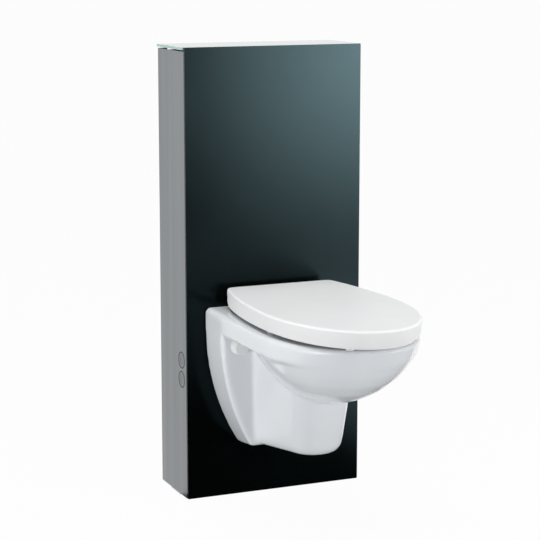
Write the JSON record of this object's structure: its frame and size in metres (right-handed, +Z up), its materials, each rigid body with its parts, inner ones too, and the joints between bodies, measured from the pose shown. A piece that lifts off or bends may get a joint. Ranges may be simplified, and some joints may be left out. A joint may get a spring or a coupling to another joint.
{
  "type": "wall hung toilet with cistern cabinet",
  "caption": "Wall hung toilet pan with a shut lid on a slim cistern cabinet with a black glass front, brushed aluminium sides and round flush buttons on the left side.",
  "frame": {"origin": "on the floor, at the middle of the floor rail's underside, below the middle of the cabinet", "axes": "+X to the right as seen from the front, +Y back to the wall, +Z up; the pan points along -Y"},
  "size_m": [0.426, 0.735, 1.01],
  "materials": {
    "black_glass": "polished glass, painted black behind",
    "cover_glass": "polished float glass with a teal edge",
    "brushed_aluminium": "brushed along its height",
    "zinc_steel": "zinc coated",
    "tank_plastic": "moulded",
    "pipe_plastic": "moulded black",
    "brass": "machined",
    "black_rubber": "matt",
    "white_rubber": "matt",
    "white_ceramic": "glazed",
    "white_plastic": "satin",
    "hinge_chrome": "polished"
  },
  "bodies": {
    "cabinet": {"front_glass": "black_glass", "top_glass": "cover_glass", "left_side_panel": "brushed_aluminium", "right_side_panel": "brushed_aluminium", "upper_cross_angle": "brushed_aluminium", "lower_cross_angle": "brushed_aluminium", "floor_rail": "zinc_steel", "left_upright": "zinc_steel", "right_upright": "zinc_steel", "top_rail": "zinc_steel", "cistern_shelf": "zinc_steel", "pan_bearer": "zinc_steel", "waste_bearer": "zinc_steel", "left_wall_bracket": "zinc_steel", "right_wall_bracket": "zinc_steel", "waste_clip": "zinc_steel", "left_pan_rod": "zinc_steel", "right_pan_rod": "zinc_steel", "cistern": "tank_plastic", "flush_nut": "pipe_plastic", "flush_pipe": "pipe_plastic", "waste_connector": "pipe_plastic", "full_flush_housing": "pipe_plastic", "half_flush_housing": "pipe_plastic", "water_inlet": "brass", "waste_seal": "black_rubber", "inlet_seal": "black_rubber", "cover_pads": "black_rubber", "sound_mat": "white_rubber", "seat_buffers": "white_rubber", "pan": "white_ceramic", "seat_ring": "white_plastic", "left_fixing_cap": "white_plastic", "right_fixing_cap": "white_plastic", "left_hinge_post": "hinge_chrome", "right_hinge_post": "hinge_chrome"},
    "lid": {"lid": "white_plastic", "lid_buffers": "white_rubber"},
    "full_button": {"full_flush_button": "brushed_aluminium"},
    "half_button": {"half_flush_button": "brushed_aluminium"}
  },
  "joints": [
    {"name": "lid_swing", "type": "hinge", "parent": "cabinet", "child": "lid", "pos_m": [0, -0.126, 0.467], "axis": [-1, 0, 0], "range_deg": [0, 92]},
    {"name": "full_flush_press", "type": "slide", "parent": "cabinet", "child": "full_button", "axis": [1, 0, 0], "range_m": [0, 0.005], "stiffness_N_per_m": 400, "springref_m": -0.004},
    {"name": "half_flush_press", "type": "slide", "parent": "cabinet", "child": "half_button", "axis": [1, 0, 0], "range_m": [0, 0.005], "stiffness_N_per_m": 400, "springref_m": -0.004}
  ]
}
